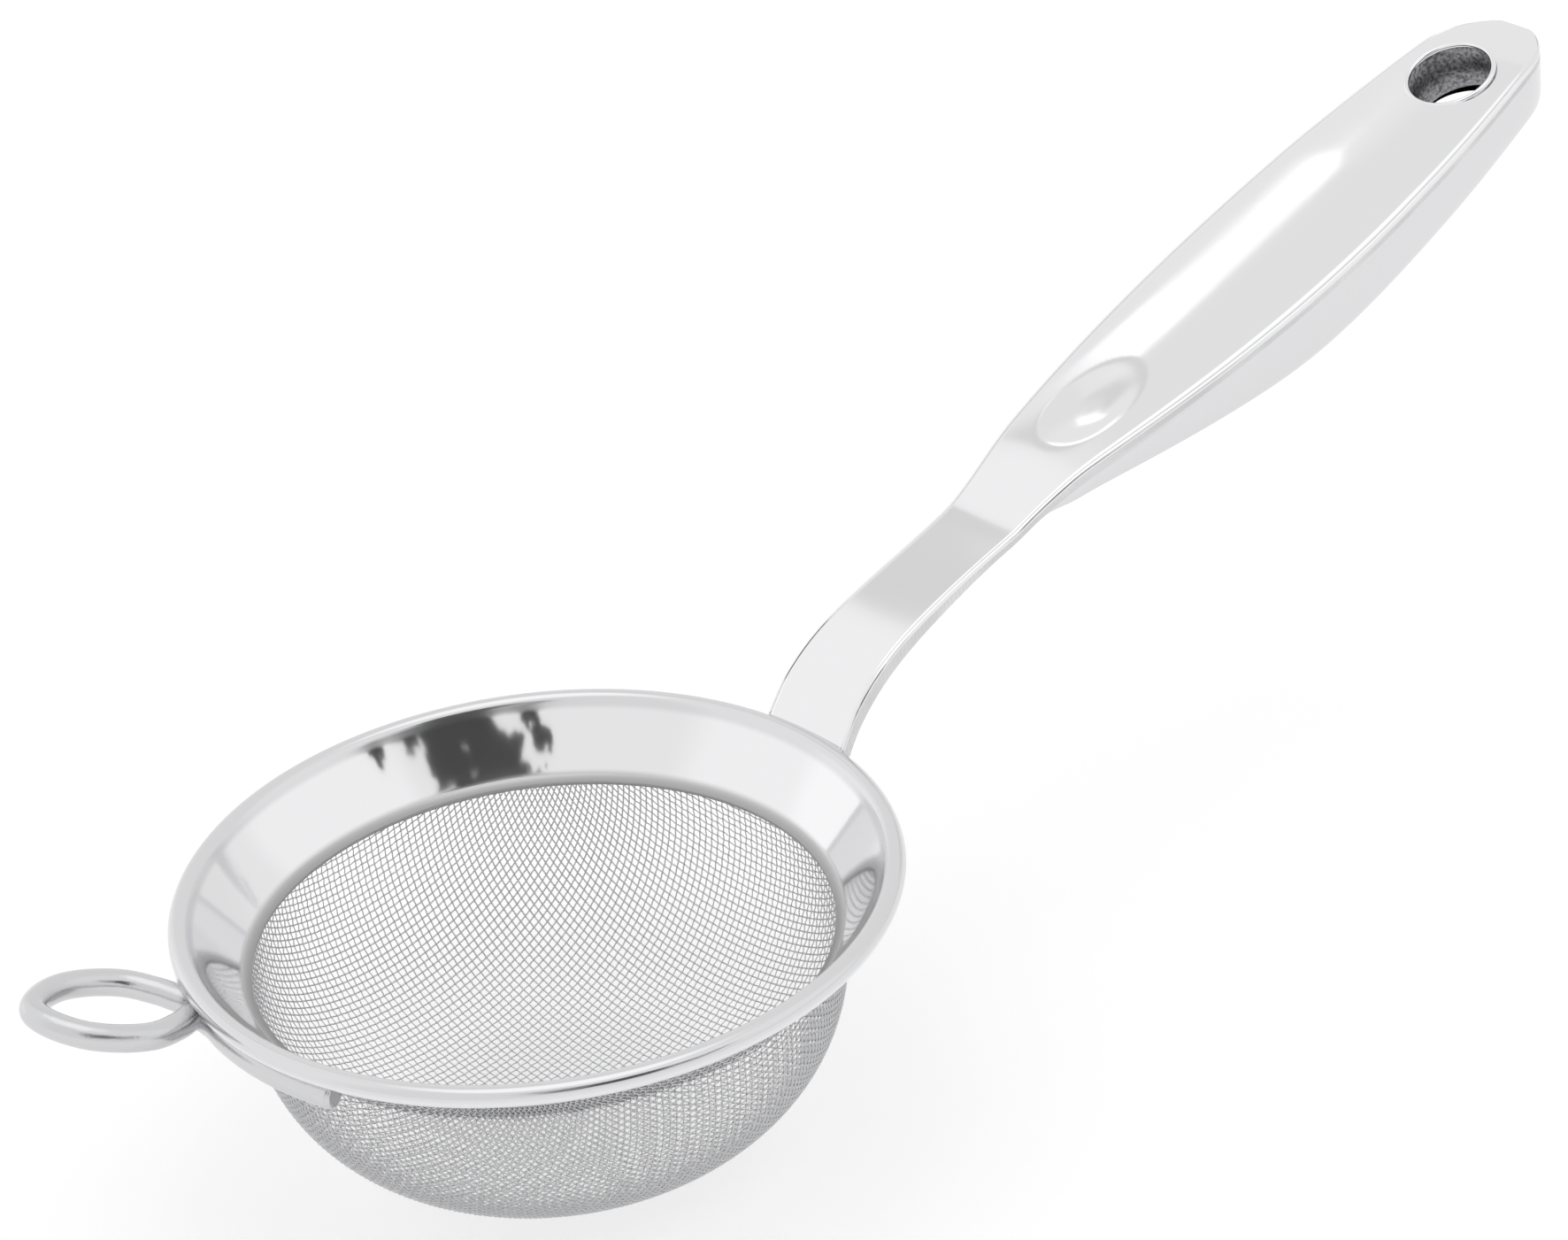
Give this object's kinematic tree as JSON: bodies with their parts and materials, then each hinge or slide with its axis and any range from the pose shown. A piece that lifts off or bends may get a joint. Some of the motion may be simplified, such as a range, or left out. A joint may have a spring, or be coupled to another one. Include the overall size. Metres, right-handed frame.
{
  "type": "tea strainer",
  "caption": "Hand-held strainer: a fine woven wire bowl in a flared steel rim, a wire ear that rests on the cup's far edge, and a hollow steel handle with a hang hole.",
  "frame": {"origin": "centre of the round rim, in the plane through the middle of its rolled bead", "axes": "+Z along the bowl's axis, out of the mouth; +X from the rim's centre along the handle; the wire ear is opposite the handle, turned 21 degrees towards +Y"},
  "size_m": [0.2148, 0.08, 0.0727],
  "materials": {
    "polished_steel": "polished stainless steel",
    "steel_cloth": "woven stainless wire cloth, bright",
    "steel_wire": "drawn and tumbled stainless wire",
    "raw_steel": "unpolished stainless tube wall"
  },
  "bodies": {
    "root": {"rim_ring": "polished_steel", "mesh_bowl": "steel_cloth", "ear_loop": "steel_wire", "handle_top": "polished_steel", "handle_belly": "polished_steel", "hang_tube": "raw_steel"}
  },
  "joints": []
}
